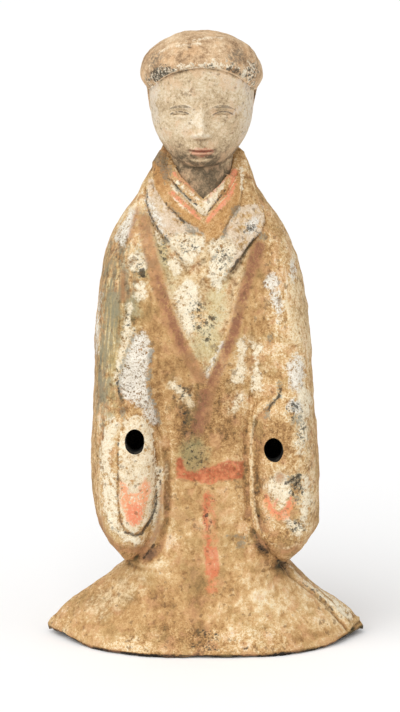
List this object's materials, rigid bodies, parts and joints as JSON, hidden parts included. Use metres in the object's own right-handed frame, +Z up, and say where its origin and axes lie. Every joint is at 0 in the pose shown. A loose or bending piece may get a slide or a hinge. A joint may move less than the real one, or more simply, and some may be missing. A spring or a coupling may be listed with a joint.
{
  "type": "tomb attendant figure",
  "caption": "Standing pottery attendant in a long-sleeved crossed robe, hollow and open below a flared hem, with a bowed head under a padded hair roll and a socket in each cuff.",
  "frame": {"origin": "middle of the hem's underside, on the surface that the figure stands on", "axes": "+Z up, -Y the way the face looks, +X towards the viewer's right"},
  "size_m": [0.288, 0.164, 0.54],
  "materials": {
    "painted_earthenware": "matte unglazed clay with worn slip and pigment"
  },
  "bodies": {
    "root": {"figure": "painted_earthenware"}
  },
  "joints": []
}
